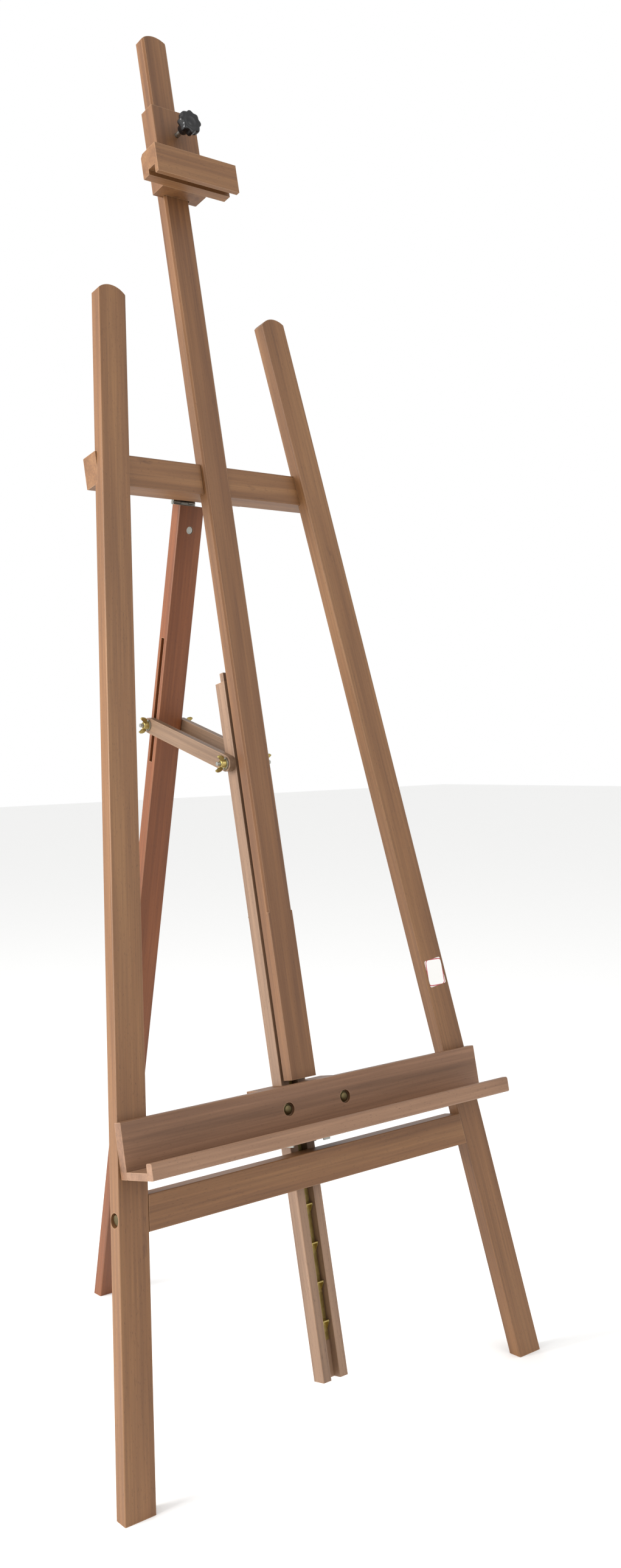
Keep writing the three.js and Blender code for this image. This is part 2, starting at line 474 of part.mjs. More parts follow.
piece(frame, 'tray_lip', bar('x', [-trayHalf, shelfFront - GAP - TRAY_LIP_THICKNESS, TRAY_Z],
  [trayHalf, shelfFront - GAP, TRAY_Z + TRAY_LIP_HEIGHT], 3), BEECH_PALE);
const strapHalf = trayBoltX + 14;
let strap = block([-strapHalf, strapFront, TRAY_BOLT_Z - STRAP.height / 2],
  [strapHalf, strapRear, TRAY_BOLT_Z + STRAP.height / 2]);
for (const [, sign] of SIDES) {
  const at = [sign * trayBoltX, strapFront - 1, TRAY_BOLT_Z];
  strap = strap.subtract(hole('y', BOLT_RADIUS, at, STRAP.thickness + 2));
}
piece(frame, 'tray_strap', strap, STEEL);

// ---- ratchet pawl under the tray, on a pin in a steel bracket, with a spring and a finger tab ----
const PAWL_Y = 20;
const PAWL_Z = TRAY_Z - 10;
const PAWL_PIN_RADIUS = 2.5;
const PAWL_BARREL = { radius: 4.4, left: -8, right: 27 };
const PAWL_HALF_WIDTH = 6;
const BRACKET = { half: 34, thickness: 2, front: 9, rear: 31 };
const bracketTop = TRAY_Z - GAP;
const bracketUnder = bracketTop - BRACKET.thickness;
const toothTop = RACK_FIRST_TOOTH + TOOTH_IN_USE * RACK_PITCH;
let bracket = block([-BRACKET.half, BRACKET.front, bracketUnder], [BRACKET.half, BRACKET.rear, bracketTop])
  .subtract(block([-PAWL_HALF_WIDTH - 1, PAWL_Y - 8, bracketUnder - 1],
    [PAWL_HALF_WIDTH + 1, BRACKET.rear + 1, bracketTop + 1]));
for (const [, sign] of SIDES) {
  const outer = sign * BRACKET.half;
  const inner = outer - sign * BRACKET.thickness;
  bracket = bracket.add(block([Math.min(inner, outer), PAWL_Y - 8, PAWL_Z - 6],
    [Math.max(inner, outer), PAWL_Y + 8, bracketTop]));
}
piece(frame, 'pawl_bracket', bracket.subtract(hole('x', PAWL_PIN_RADIUS, [-50, PAWL_Y, PAWL_Z], 100)), STEEL);
piece(frame, 'pawl_pin',
  rod('x', PAWL_PIN_RADIUS, [-BRACKET.half - 2, PAWL_Y, PAWL_Z], 2 * BRACKET.half + 4), STEEL);
const pawlTip = RACK_FACE - TOOTH_REACH - GAP;
const pawlArm = [[PAWL_Y - 4, PAWL_Z], [PAWL_Y, PAWL_Z - 4], [PAWL_Y + 4, PAWL_Z - 2],
  [pawlTip, toothTop + GAP], [pawlTip, toothTop + 3], [pawlTip - 4, toothTop + 3]];
const fingerTab = [[PAWL_Y, PAWL_Z + 4], [PAWL_Y - 18, PAWL_Z + 4], [PAWL_Y - 18, PAWL_Z - 5],
  [PAWL_Y - 16.4, PAWL_Z - 5], [PAWL_Y - 16.4, PAWL_Z + 2.4], [PAWL_Y, PAWL_Z + 2.4]];
const pawlBarrel = rod('x', PAWL_BARREL.radius, [PAWL_BARREL.left, PAWL_Y, PAWL_Z],
  PAWL_BARREL.right - PAWL_BARREL.left);
piece(frame, 'pawl', pawlBarrel
  .add(profile(pawlArm, -PAWL_HALF_WIDTH, PAWL_HALF_WIDTH)).add(profile(fingerTab, 15, 27))
  .subtract(hole('x', PAWL_PIN_RADIUS, [-50, PAWL_Y, PAWL_Z], 100)), STEEL);
piece(frame, 'pawl_spring', rod('x', 6, [8, PAWL_Y, PAWL_Z], 6)
  .subtract(rod('x', PAWL_BARREL.radius + GAP, [7, PAWL_Y, PAWL_Z], 8)), STEEL);

// ---- canvas clamp: a block that slides on the mast, a grooved bar, a steel strap and a star knob ----
const headRear = MAST_FRONT + HEAD_CHANNEL;
const headFront = headRear - HEAD_DEPTH;
const headTop = HEAD_Z + HEAD_HEIGHT;
const KNOB_Z = headTop - 41;
const KNOB_STUD_RADIUS = 4;
const headScrewZ = HEAD_Z + 65;
const HEAD_STRAP = { thickness: 2, height: 50, flange: 12 };
const mastHalf = MAST_WIDTH / 2 + SLIDE_FIT;
const headScrewX = mastHalf + HEAD_STRAP.thickness + 6;
let headBlock = bar('z', [-HEAD_WIDTH / 2, headFront, HEAD_Z], [HEAD_WIDTH / 2, headRear, headTop])
  .subtract(block([-mastHalf, MAST_FRONT - SLIDE_FIT, HEAD_Z - 1], [mastHalf, headRear + 1, headTop + 1]))
  .subtract(hole('y', KNOB_STUD_RADIUS, [0, headFront - 1, KNOB_Z], HEAD_DEPTH));
const mastBehind = MAST_REAR + SLIDE_FIT;
let headStrap = block([-mastHalf - HEAD_STRAP.thickness, mastBehind, headScrewZ - HEAD_STRAP.height / 2],
  [mastHalf + HEAD_STRAP.thickness, mastBehind + HEAD_STRAP.thickness, headScrewZ + HEAD_STRAP.height / 2]);
for (const [side, sign] of SIDES) {
  const arm = [0, HEAD_STRAP.thickness, HEAD_STRAP.thickness + HEAD_STRAP.flange]
    .map((run) => sign * (mastHalf + run));
  const [low, high] = [headScrewZ - HEAD_STRAP.height / 2, headScrewZ + HEAD_STRAP.height / 2];
  headStrap = headStrap
    .add(block([Math.min(arm[0], arm[1]), headRear + GAP, low],
      [Math.max(arm[0], arm[1]), mastBehind + 1, high]))
    .add(block([Math.min(arm[0], arm[2]), headRear + GAP, low],
      [Math.max(arm[0], arm[2]), headRear + GAP + HEAD_STRAP.thickness, high]))
    .subtract(hole('y', 2, [sign * headScrewX, headRear, headScrewZ], 4));
  headBlock = headBlock.subtract(hole('y', 2, [sign * headScrewX, headRear - 13, headScrewZ], 14));
  const screwSeat = headRear + GAP + HEAD_STRAP.thickness + GAP;
  const shank = rod('y', 2, [sign * headScrewX, headRear - 12, headScrewZ], screwSeat - headRear + 13);
  piece(frame, `head_screw_${side}`, shank
    .add(cone('y', 4, 2.5, [sign * headScrewX, screwSeat, headScrewZ], 2.2)), STEEL);
}
piece(frame, 'head_strap', headStrap, STEEL);
piece(frame, 'head_block', headBlock, BEECH);
const barRear = headFront - GAP;
const barFront = barRear - CLAMP_BAR_DEPTH;
const barTop = HEAD_Z + CLAMP_BAR_HEIGHT;
const grooveFront = barFront + CLAMP_LIP_THICKNESS;
const barOutline = [[barFront, HEAD_Z - CLAMP_LIP_DROP], [grooveFront, HEAD_Z - CLAMP_LIP_DROP],
  [grooveFront, HEAD_Z + CLAMP_GROOVE_DEPTH], [grooveFront + CLAMP_GROOVE_WIDTH, HEAD_Z + CLAMP_GROOVE_DEPTH],
  [grooveFront + CLAMP_GROOVE_WIDTH, HEAD_Z], [barRear, HEAD_Z],
  [barRear, barTop - CLAMP_BAR_BEVEL], [barRear - CLAMP_BAR_BEVEL, barTop], [barFront, barTop]];
const clampBar = profile(barOutline, -CLAMP_BAR_LENGTH / 2, CLAMP_BAR_LENGTH / 2);
piece(frame, 'clamp_bar', clampBar, BEECH);

const knobRear = headFront - KNOB_STANDS_OUT;
const star = new THREE.Shape();
const lobe = (angle) => KNOB_RADIUS * (0.93 + 0.07 * Math.cos(KNOB_LOBES * angle));
for (let i = 0; i < KNOB_LOBES * 8; i += 1) {
  const angle = (i / (KNOB_LOBES * 8)) * 2 * Math.PI;
  const point = [Math.cos(angle) * lobe(angle), Math.sin(angle) * lobe(angle)];
  star[i ? 'lineTo' : 'moveTo'](...point);
}
const knobBody = panel(star, knobRear - KNOB_THICKNESS, KNOB_THICKNESS)
  .add(cone('y', 12, 8, [0, 0, 0], 14).translate([0, knobRear - 1, 0]))
  .translate([0, 0, KNOB_Z]);
const knobBore = hole('y', KNOB_STUD_RADIUS, [0, knobRear - 10, KNOB_Z], KNOB_STANDS_OUT);
piece(frame, 'knob', knobBody.subtract(knobBore), BLACK_PLASTIC);
piece(frame, 'knob_stud', rod('y', KNOB_STUD_RADIUS, [0, knobRear - 9, KNOB_Z],
  MAST_FRONT - SLIDE_FIT - 2 * GAP - knobRear + 9), STEEL);

// ---- hinge board and butt hinge ----
piece(frame, 'hinge_board', bar('x', [-HINGE_BOARD_LENGTH / 2, HINGE_BOARD_FRONT, HINGE_BOARD_Z],
  [HINGE_BOARD_LENGTH / 2, HINGE_BOARD_REAR, HINGE_BOARD_Z + HINGE_BOARD_THICKNESS], 1.5), BEECH);
const leafHalf = HINGE_LEAF_WIDTH / 2;
const knuckle = leafHalf / 3;
const barrelRoom = BARREL_RADIUS + GAP;
const leafA = block([-leafHalf, HINGE_BOARD_REAR + GAP, PIVOT_Z],
  [leafHalf, HINGE_BOARD_REAR + GAP + HINGE_LEAF_THICKNESS, HINGE_BOARD_Z + HINGE_BOARD_THICKNESS - 1])
  .add(rod('x', BARREL_RADIUS, [-leafHalf, PIVOT_Y, PIVOT_Z], HINGE_LEAF_WIDTH))
  .subtract(rod('x', barrelRoom, [-knuckle - GAP, PIVOT_Y, PIVOT_Z], 2 * knuckle + 2 * GAP))
  .subtract(hole('x', HINGE_PIN_RADIUS, [-30, PIVOT_Y, PIVOT_Z], 60));
piece(frame, 'hinge_leaf_fixed', leafA, STEEL);
piece(frame, 'hinge_pin',
  rod('x', HINGE_PIN_RADIUS, [-leafHalf - 1, PIVOT_Y, PIVOT_Z], HINGE_LEAF_WIDTH + 2), STEEL);

// ---- rear leg, drawn from the hinge pin down ----
const rearLeg = new THREE.Group();
rearLeg.position.set(0, PIVOT_Y, PIVOT_Z);
rearLeg.rotation.x = LEG_OPENING;
frame.add(rearLeg);
const LEG_TOP = -REAR_LEG_TOP_GAP;
const LEG_BOLT_Z = LEG_TOP - 37;
const legHalf = REAR_LEG_WIDTH / 2;
const footCut = [REAR_LEG_FRONT - 5, REAR_LEG_BACK + 5];
const legCut = [...footCut.map((y) => [y, rearLegFloor(y)]), [footCut[1], -1600], [footCut[0], -1600]];
const legSlot = block([-legHalf - 1, REAR_LEG_MIDDLE - SLOT_WIDTH / 2, -SLOT_BOTTOM],
  [legHalf + 1, REAR_LEG_MIDDLE + SLOT_WIDTH / 2, -SLOT_TOP]);
piece(rearLeg, 'rear_leg', bar('z', [-legHalf, REAR_LEG_FRONT, -1550], [legHalf, REAR_LEG_BACK, LEG_TOP])
  .subtract(profile(legCut, -legHalf - 1, legHalf + 1)).subtract(legSlot)
  .subtract(rod('y', 6, [0, REAR_LEG_FRONT - 1, LEG_BOLT_Z], 5))
  .subtract(hole('y', BOLT_RADIUS, [0, REAR_LEG_FRONT - 1, LEG_BOLT_Z], REAR_LEG_THICKNESS + 2)), BEECH);
const leafRear = REAR_LEG_BACK + GAP + HINGE_LEAF_THICKNESS;
const plate = block([-leafHalf, REAR_LEG_BACK + GAP, -HINGE_LEAF_LENGTH], [leafHalf, leafRear, 0]);
piece(rearLeg, 'hinge_leaf_moving', plate
  .subtract(rod('x', barrelRoom, [-leafHalf - 1, 0, 0], HINGE_LEAF_WIDTH + 2).intersect(
    block([-leafHalf - 1, -9, -9], [-knuckle + GAP, 9, 9])
      .add(block([knuckle - GAP, -9, -9], [leafHalf + 1, 9, 9]))))
  .add(rod('x', BARREL_RADIUS, [-knuckle + GAP, 0, 0], 2 * knuckle - 2 * GAP))
  .subtract(hole('x', HINGE_PIN_RADIUS, [-30, 0, 0], 60))
  .subtract(hole('y', BOLT_RADIUS, [0, REAR_LEG_BACK, LEG_BOLT_Z], 6)), STEEL);
piece(rearLeg, 'hinge_bolt', rod('y', BOLT_RADIUS, [0, REAR_LEG_FRONT + 2, LEG_BOLT_Z],
  leafRear - REAR_LEG_FRONT - 1)
  .add(rod('y', 5.5, [0, REAR_LEG_FRONT + 1.2, LEG_BOLT_Z], 2.4)), STEEL);

// ---- struts, from a stud in each stile to the rear leg's slot ----
const slotPoint = new THREE.Vector2(REAR_LEG_MIDDLE, -STRUT_REAR_REACH)
  .rotateAround(new THREE.Vector2(0, 0), LEG_OPENING).add(new THREE.Vector2(PIVOT_Y, PIVOT_Z));
const strutRun = new THREE.Vector2(slotPoint.x - STRUT_FRONT_Y, slotPoint.y - STRUT_FRONT_Z);
const STRUT_LENGTH = strutRun.length();
const struts = new THREE.Group();
struts.position.set(0, STRUT_FRONT_Y, STRUT_FRONT_Z);
struts.rotation.x = strutRun.angle();
frame.add(struts);
const strutEnd = STRUT_HEIGHT / 2;
const strutShape = new THREE.Shape();
strutShape.moveTo(0, -strutEnd).lineTo(STRUT_LENGTH, -strutEnd);
strutShape.absarc(STRUT_LENGTH, 0, strutEnd, -Math.PI / 2, Math.PI / 2);
strutShape.absarc(0, 0, strutEnd, Math.PI / 2, Math.PI * 1.5);
const nutSeat = STRUT_OUTER + GAP + WASHER_THICKNESS + GAP;
const studEnd = nutSeat + HUB_HEIGHT + STUD_SHOWS;
for (const [side, sign] of SIDES) {
  const outward = (x, length) => (sign > 0 ? x : -x - length);
  const strutX = outward(STRUT_INNER, STRUT_THICKNESS);
  const strut = profile(strutShape, strutX, strutX + STRUT_THICKNESS)
    .subtract(hole('x', BOLT_RADIUS, [strutX - 1, 0, 0], STRUT_THICKNESS + 2))
    .subtract(hole('x', BOLT_RADIUS, [strutX - 1, STRUT_LENGTH, 0], STRUT_THICKNESS + 2));
  piece(struts, `strut_${side}`, strut, BEECH_PALE);
  const washerX = outward(STRUT_OUTER + GAP, WASHER_THICKNESS);
  piece(struts, `front_washer_${side}`, washer('x', [washerX, 0, 0]), STEEL);
  piece(struts, `slot_washer_${side}`, washer('x', [washerX, STRUT_LENGTH, 0]), STEEL);
  const boltLength = studEnd - STRUT_INNER - GAP;
  const boltFrom = [outward(STRUT_INNER + GAP, boltLength), STRUT_LENGTH, 0];
  piece(struts, `slot_bolt_${side}`, rod('x', BOLT_RADIUS, boltFrom, boltLength), STEEL);
  for (const [end, y] of [['slot', STRUT_LENGTH], ['front', 0]]) {
    const nut = placed(wingNut(), [sign * nutSeat, y, 0], TURN[side]);
    piece(struts, `${end}_wing_nut_${side}`, nut, ZINC_YELLOW);
  }
  const studLength = studEnd - frontStudInner;
  const studAt = [outward(frontStudInner, studLength), STRUT_FRONT_Y, STRUT_FRONT_Z];
  piece(frame, `front_stud_${side}`, rod('x', BOLT_RADIUS, studAt, studLength), STEEL);
}

export default easel;
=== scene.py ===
# Looks of a wooden lyre easel: oiled beech bars, yellow zinc wing nuts, a steel ratchet rack and a black
# star knob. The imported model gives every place; lengths here are in metres.
import json
import math

import bmesh
import bpy
from mathutils import Matrix, Vector


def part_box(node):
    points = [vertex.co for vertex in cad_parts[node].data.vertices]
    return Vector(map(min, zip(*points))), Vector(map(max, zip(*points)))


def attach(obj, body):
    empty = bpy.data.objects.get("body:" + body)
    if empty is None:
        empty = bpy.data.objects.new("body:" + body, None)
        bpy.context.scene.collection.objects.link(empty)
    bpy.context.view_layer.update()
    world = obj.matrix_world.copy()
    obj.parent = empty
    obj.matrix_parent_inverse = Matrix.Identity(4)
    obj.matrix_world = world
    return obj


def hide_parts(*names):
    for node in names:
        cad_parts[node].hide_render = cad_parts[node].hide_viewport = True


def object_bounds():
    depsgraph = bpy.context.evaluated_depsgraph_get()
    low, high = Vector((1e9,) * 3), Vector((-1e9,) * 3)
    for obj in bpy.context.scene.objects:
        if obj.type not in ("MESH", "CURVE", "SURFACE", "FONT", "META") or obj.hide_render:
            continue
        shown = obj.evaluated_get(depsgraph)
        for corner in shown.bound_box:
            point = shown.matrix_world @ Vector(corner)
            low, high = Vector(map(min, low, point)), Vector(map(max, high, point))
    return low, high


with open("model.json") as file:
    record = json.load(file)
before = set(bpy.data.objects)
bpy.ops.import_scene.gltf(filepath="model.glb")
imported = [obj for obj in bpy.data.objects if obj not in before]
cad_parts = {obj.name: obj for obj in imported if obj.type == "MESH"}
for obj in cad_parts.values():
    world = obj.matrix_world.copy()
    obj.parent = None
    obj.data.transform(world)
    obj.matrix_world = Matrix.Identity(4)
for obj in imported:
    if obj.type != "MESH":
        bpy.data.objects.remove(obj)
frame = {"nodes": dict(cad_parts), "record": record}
cad_box = [list(corner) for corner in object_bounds()]


# ---- Camera ----
# It stands to the left of the easel at table height and takes in the whole height upright.
LEAN = math.radians(11.2)                       # the frame leans back by this much
camera_data = bpy.data.cameras.new("camera")
camera_data.sensor_fit = "VERTICAL"
camera_data.sensor_height = 36.0
camera_data.lens = 32.48
camera_data.shift_x = -0.0123
camera_data.shift_y = 0.0076
camera = bpy.data.objects.new("camera", camera_data)
bpy.context.scene.collection.objects.link(camera)
YAW, PITCH, ROLL = math.radians(39.63), math.radians(-2.17), math.radians(-1.37)
forward = Vector((math.sin(YAW) * math.cos(PITCH), math.cos(YAW) * math.cos(PITCH), math.sin(PITCH)))
level = Vector((math.cos(YAW), -math.sin(YAW), 0))
above = level.cross(forward)
right = level * math.cos(ROLL) + above * math.sin(ROLL)
up = above * math.cos(ROLL) - level * math.sin(ROLL)
front_feet_y = cad_box[0][1]
camera_place = Matrix.Translation((-1.253, front_feet_y - 1.484, 0.958))
camera.matrix_world = camera_place @ Matrix((right, up, -forward)).transposed().to_4x4()
bpy.context.scene.camera = camera


# ---- Beech ----
# Planed and oiled steamed beech: a warm tan with broad soft bands along the grain, short dark ray flecks, now
# and then a mineral streak, and a satin sheen. The grain runs the length of each bar.
BAND_WIDTH = 0.022
FLECK_WIDTH = 0.0011
PORE_WIDTH = 0.0006
STREAK_WIDTH = 0.03
# Width of the painted highlight, a lighter tan painted along every arris of the bars.
EDGE_HIGHLIGHT_RADIUS = 0.0016


def add(tree, kind, settings=None, **inputs):
    """A node with its settings, its plain values and its links, by input name or number."""
    made = tree.nodes.new(kind)
    for name, value in (settings or {}).items():
        setattr(made, name, value)
    for name, value in inputs.items():
        numbered = name[0] == "i" and name[1:].isdigit()
        socket = made.inputs[int(name[1:]) if numbered else name.replace("_", " ")]
        if isinstance(value, bpy.types.NodeSocket):
            tree.links.new(value, socket)
        else:
            socket.default_value = value
    return made


def srgb(code):
    """A hex colour as linear red, green, blue and alpha."""
    parts = [int(code[i:i + 2], 16) / 255 for i in (1, 3, 5)]
    return [p / 12.92 if p <= 0.04045 else ((p + 0.055) / 1.055) ** 2.4 for p in parts] + [1.0]


def blank(name):
    material = bpy.data.materials.new(name)
    material.use_nodes = True
    material.node_tree.nodes.clear()
    return material, material.node_tree


def dress(names, material):
    for name in names:
        slots = frame["nodes"][name].material_slots
        if not slots:
            frame["nodes"][name].data.materials.append(material)
        for slot in frame["nodes"][name].material_slots:
            slot.material = material


def beech(name, turn, light="#835c37", mid="#78512e", dark="#6a4524"):
    material, tree = blank(name)
    place = add(tree, "ShaderNodeTexCoord").outputs["Object"]
    along = add(tree, "ShaderNodeMapping", Vector=place, Rotation=turn).outputs["Vector"]

    def grain(width, stretch, detail, roughness=0.5):
        squeezed = add(tree, "ShaderNodeMapping", Vector=along, Scale=(1, 1, 1 / stretch)).outputs["Vector"]
        return add(tree, "ShaderNodeTexNoise", Vector=squeezed, Scale=1 / width, Detail=detail,
                   Roughness=roughness).outputs["Fac"]

    def ramp(value, *stops):
        made = add(tree, "ShaderNodeValToRGB", Fac=value)
        elements = made.color_ramp.elements
        while len(elements) < len(stops):
            elements.new(0.5)
        for element, (position, colour) in zip(elements, stops):
            element.position, element.color = position, colour
        return made.outputs["Color"]

    black, white = (0, 0, 0, 1), (1, 1, 1, 1)
    bands = ramp(grain(BAND_WIDTH, 22, 3), (0.3, srgb(dark)), (0.5, srgb(mid)), (0.72, srgb(light)))
    lines = ramp(grain(0.0035, 60, 4, 0.6), (0.35, black), (0.7, white))
    lined = add(tree, "ShaderNodeMix", {"data_type": "RGBA", "blend_type": "SOFT_LIGHT"},
                i0=0.2, i6=bands, i7=lines)
    flecks = ramp(grain(FLECK_WIDTH, 5, 1), (0.66, black), (0.74, white))
    flecked = add(tree, "ShaderNodeMix", {"data_type": "RGBA", "blend_type": "MULTIPLY"},
                  i0=add(tree, "ShaderNodeMath", {"operation": "MULTIPLY"}, i0=flecks, i1=0.4).outputs[0],
                  i6=lined.outputs[2], i7=srgb("#7d5a40"))
    streaks = ramp(grain(STREAK_WIDTH, 3, 4, 0.7), (0.66, black), (0.8, white))
    marked = add(tree, "ShaderNodeMix", {"data_type": "RGBA", "blend_type": "MULTIPLY"},
                 i0=add(tree, "ShaderNodeMath", {"operation": "MULTIPLY"}, i0=streaks, i1=0.55).outputs[0],
                 i6=flecked.outputs[2], i7=srgb("#7a543a"))
    # Painted highlight: near each arris the colour is mixed towards a light tan, standing in for the light
    # that catches the rounded edges.
    rounded = add(tree, "ShaderNodeBevel", {"samples": 4}, Radius=EDGE_HIGHLIGHT_RADIUS).outputs["Normal"]
    facing = add(tree, "ShaderNodeNewGeometry").outputs["True Normal"]
    flat = add(tree, "ShaderNodeVectorMath", {"operation": "DOT_PRODUCT"},
               i0=rounded, i1=facing).outputs["Value"]
    edge = add(tree, "ShaderNodeMapRange", Value=flat, From_Min=0.99, From_Max=0.86, To_Min=0.0, To_Max=0.55)
    edge_highlighted = add(tree, "ShaderNodeMix", {"data_type": "RGBA"}, i0=edge.outputs["Result"], i6=marked.outputs[2],
               i7=srgb("#b08d6c"))
    pores = grain(PORE_WIDTH, 12, 1)
    relief = add(tree, "ShaderNodeBump", Height=pores, Strength=0.18, Distance=0.0002)
    sheen = add(tree, "ShaderNodeMapRange", Value=pores, To_Min=0.42, To_Max=0.62).outputs["Result"]
    shader = add(tree, "ShaderNodeBsdfPrincipled", Base_Color=edge_highlighted.outputs[2], Roughness=sheen,
                 IOR=1.5, Coat_Weight=0.1, Coat_Roughness=0.35, Normal=relief.outputs["Normal"])
    add(tree, "ShaderNodeOutputMaterial", Surface=shader.outputs["BSDF"])
    return material


QUARTER = math.pi / 2
SPLAY = math.atan(0.125)
REAR_TILT = math.radians(13.4)
STRUT_RISE = math.radians(16.5)
ACROSS = (LEAN, -QUARTER, 0)
UPWARDS = (LEAN, 0, 0)
dress(["leg_left"], beech("beech_left_leg", (LEAN, -SPLAY, 0)))
dress(["leg_right"], beech("beech_right_leg", (LEAN, SPLAY, 0)))
dress(["mast", "head_block", "tray_spacer_left", "tray_spacer_right"],
      beech("beech_mast", UPWARDS, "#7c5532", "#724b29", "#643f20"))
dress(["rail_stile_left", "rail_stile_right", "rail_back_strip", "mast_tongue"],
      beech("beech_rail", UPWARDS, "#907159", "#846750", "#705541"))
dress(["upper_crossbar", "lower_crossbar", "hinge_board", "clamp_bar"], beech("beech_crossbar", ACROSS))
dress(["tray_backboard"], beech("beech_backboard", ACROSS, "#89644a", "#7d593f", "#69482f"))
dress(["tray_shelf", "tray_lip"],
      beech("beech_tray", ACROSS, "#8f6c52", "#836148", "#6f4f38"))
dress(["rear_leg"],
      beech("beech_rear_leg", (-REAR_TILT, 0, 0), "#834c27", "#76411d", "#653616"))
dress(["strut_left", "strut_right"],
      beech("beech_strut", (QUARTER - STRUT_RISE, 0, 0), "#7a604a", "#6e5540", "#5e4735"))


# ---- Steel and zinc ----
# Bolts, washers, hinge leaves and the strap are bright zinc on pressed or turned steel, a little dull. The
# rack and the wing nuts are yellow chromated zinc, which goes from straw to olive.
def plated(name, light, dark, rough_low, rough_high, patch=0.006):
    material, tree = blank(name)
    place = add(tree, "ShaderNodeTexCoord").outputs["Object"]
    cloud = add(tree, "ShaderNodeTexNoise", Vector=place, Scale=1 / patch, Detail=4.0,
                Roughness=0.6).outputs["Fac"]
    colour = add(tree, "ShaderNodeMix", {"data_type": "RGBA"},
                 i0=cloud, i6=srgb(dark), i7=srgb(light)).outputs[2]
    rough = add(tree, "ShaderNodeMapRange", Value=cloud,
                To_Min=rough_low, To_Max=rough_high).outputs["Result"]
    scratch = add(tree, "ShaderNodeTexNoise", Vector=place, Scale=2500.0, Detail=1.0).outputs["Fac"]
    relief = add(tree, "ShaderNodeBump", Height=scratch, Strength=0.08, Distance=0.0001)
    shader = add(tree, "ShaderNodeBsdfPrincipled", Base_Color=colour, Metallic=1.0, Roughness=rough,
                 Normal=relief.outputs["Normal"])
    add(tree, "ShaderNodeOutputMaterial", Surface=shader.outputs["BSDF"])
    return material


bright_zinc = plated("zinc_plated_steel", "#b9b9b2", "#8f9089", 0.28, 0.45)
yellow_zinc = plated("yellow_chromated_zinc", "#b9a468", "#8c7c48", 0.25, 0.42)
olive_zinc = plated("olive_chromated_zinc", "#75694a", "#544a33", 0.35, 0.55)
slots = {s["node"]: s["material_slot"] for s in frame["record"]["subparts"]}
dress([n for n, s in slots.items() if s == "steel"], bright_zinc)
dress([n for n, s in slots.items() if s == "yellow_zinc"], yellow_zinc)
dress(["tray_bolt_left", "tray_bolt_right", "lower_crossbar_bolt_left", "lower_crossbar_bolt_right"],
      olive_zinc)


# ---- Moulded black plastic ----
# Glass-filled nylon of the star knob: near black, with a fine spark-eroded texture and a soft gloss.
def moulded(name, colour):
    material, tree = blank(name)
    place = add(tree, "ShaderNodeTexCoord").outputs["Object"]
    grit = add(tree, "ShaderNodeTexNoise", Vector=place, Scale=1800.0, Detail=2.0).outputs["Fac"]
    rough = add(tree, "ShaderNodeMapRange", Value=grit, To_Min=0.22, To_Max=0.36).outputs["Result"]
    relief = add(tree, "ShaderNodeBump", Height=grit, Strength=0.25, Distance=0.0001)
    shader = add(tree, "ShaderNodeBsdfPrincipled", Base_Color=srgb(colour), Roughness=rough,
                 IOR=1.5, Normal=relief.outputs["Normal"])
    add(tree, "ShaderNodeOutputMaterial", Surface=shader.outputs["BSDF"])
    return material


black_nylon = moulded("moulded_black_nylon", "#0c0c0e")
dress(["knob"], black_nylon)


# ---- Star knob ----
# The clamp's knob is moulded black nylon with eight finger lobes, a dished face and a neck that stands off
# the block, screwed on a steel stud.
# Each piece from here on is drawn about its own axis, mostly in millimetres, and set in place by a matrix.
LEANING = Matrix.Translation((0, front_feet_y, 0)) @ Matrix.Rotation(-LEAN, 4, "X")
MM = 0.001


def keep(name, mesh, material, body, slot_name, *replaced):
    """A finished mesh as an object that rides a body and takes the place of CAD nodes."""
    mesh.materials.clear()
    mesh.materials.append(material)
    piece = bpy.data.objects.new(name, mesh)
    bpy.context.scene.collection.objects.link(piece)
    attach(piece, body)
    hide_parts(*replaced)
    return piece


def mesh_of(name, shape, matrix, smooth=math.radians(40)):
    """A bmesh, scaled from millimetres and set in place, with smooth faces up to an angle between them."""
    bmesh.ops.remove_doubles(shape, verts=shape.verts, dist=1e-5)
    bmesh.ops.transform(shape, matrix=matrix @ Matrix.Scale(MM, 4), verts=shape.verts)
    bmesh.ops.recalc_face_normals(shape, faces=shape.faces)
    for face in shape.faces:
        face.smooth = True
    for edge in shape.edges:
        edge.smooth = len(edge.link_faces) == 2 and edge.calc_face_angle(0) < smooth
    mesh = bpy.data.meshes.new(name)
    shape.to_mesh(mesh)
    shape.free()
    return mesh


def turned(shape, outline, steps=48, radius=lambda angle, r, z: r):
    """A body turned about Z from (radius, height) pairs; a radius of zero closes it on the axis."""
    rings = []
    for r, z in outline:
        count = steps if r else 1
        angles = [2 * math.pi * i / steps for i in range(count)]
        rings.append([shape.verts.new((radius(a, r, z) * math.cos(a), radius(a, r, z) * math.sin(a), z))
                      for a in angles])
    for low, high in zip(rings, rings[1:]):
        for i in range(steps):
            corners = [low[i % len(low)], low[(i + 1) % len(low)],
                       high[(i + 1) % len(high)], high[i % len(high)]]
            shape.faces.new(list(dict.fromkeys(corners)))


KNOB_RADIUS = 19
KNOB_CORE = 9                                   # the lobes fade out at this radius
LOBES = 8
LOBE_DEPTH = 0.075
KNOB_PLACE = (0, -0.0415, 1.933)
KNOB_OUTLINE = [(4.4, -12), (8, -12), (8.6, -9), (10.5, -1.5), (16, 1.6), (18, 2.4), (18.8, 4), (19, 6),
                (19, 11), (18.6, 13.2), (17.6, 14.6), (15.5, 15.2), (12, 14.8), (9, 14.2), (7, 14.4),
                (6, 14.9), (0, 15)]


def lobed(angle, r, z):
    share = max(0.0, (r - KNOB_CORE) / (KNOB_RADIUS - KNOB_CORE))
    return r * (1 - LOBE_DEPTH * share * (1 - math.cos(LOBES * angle)))


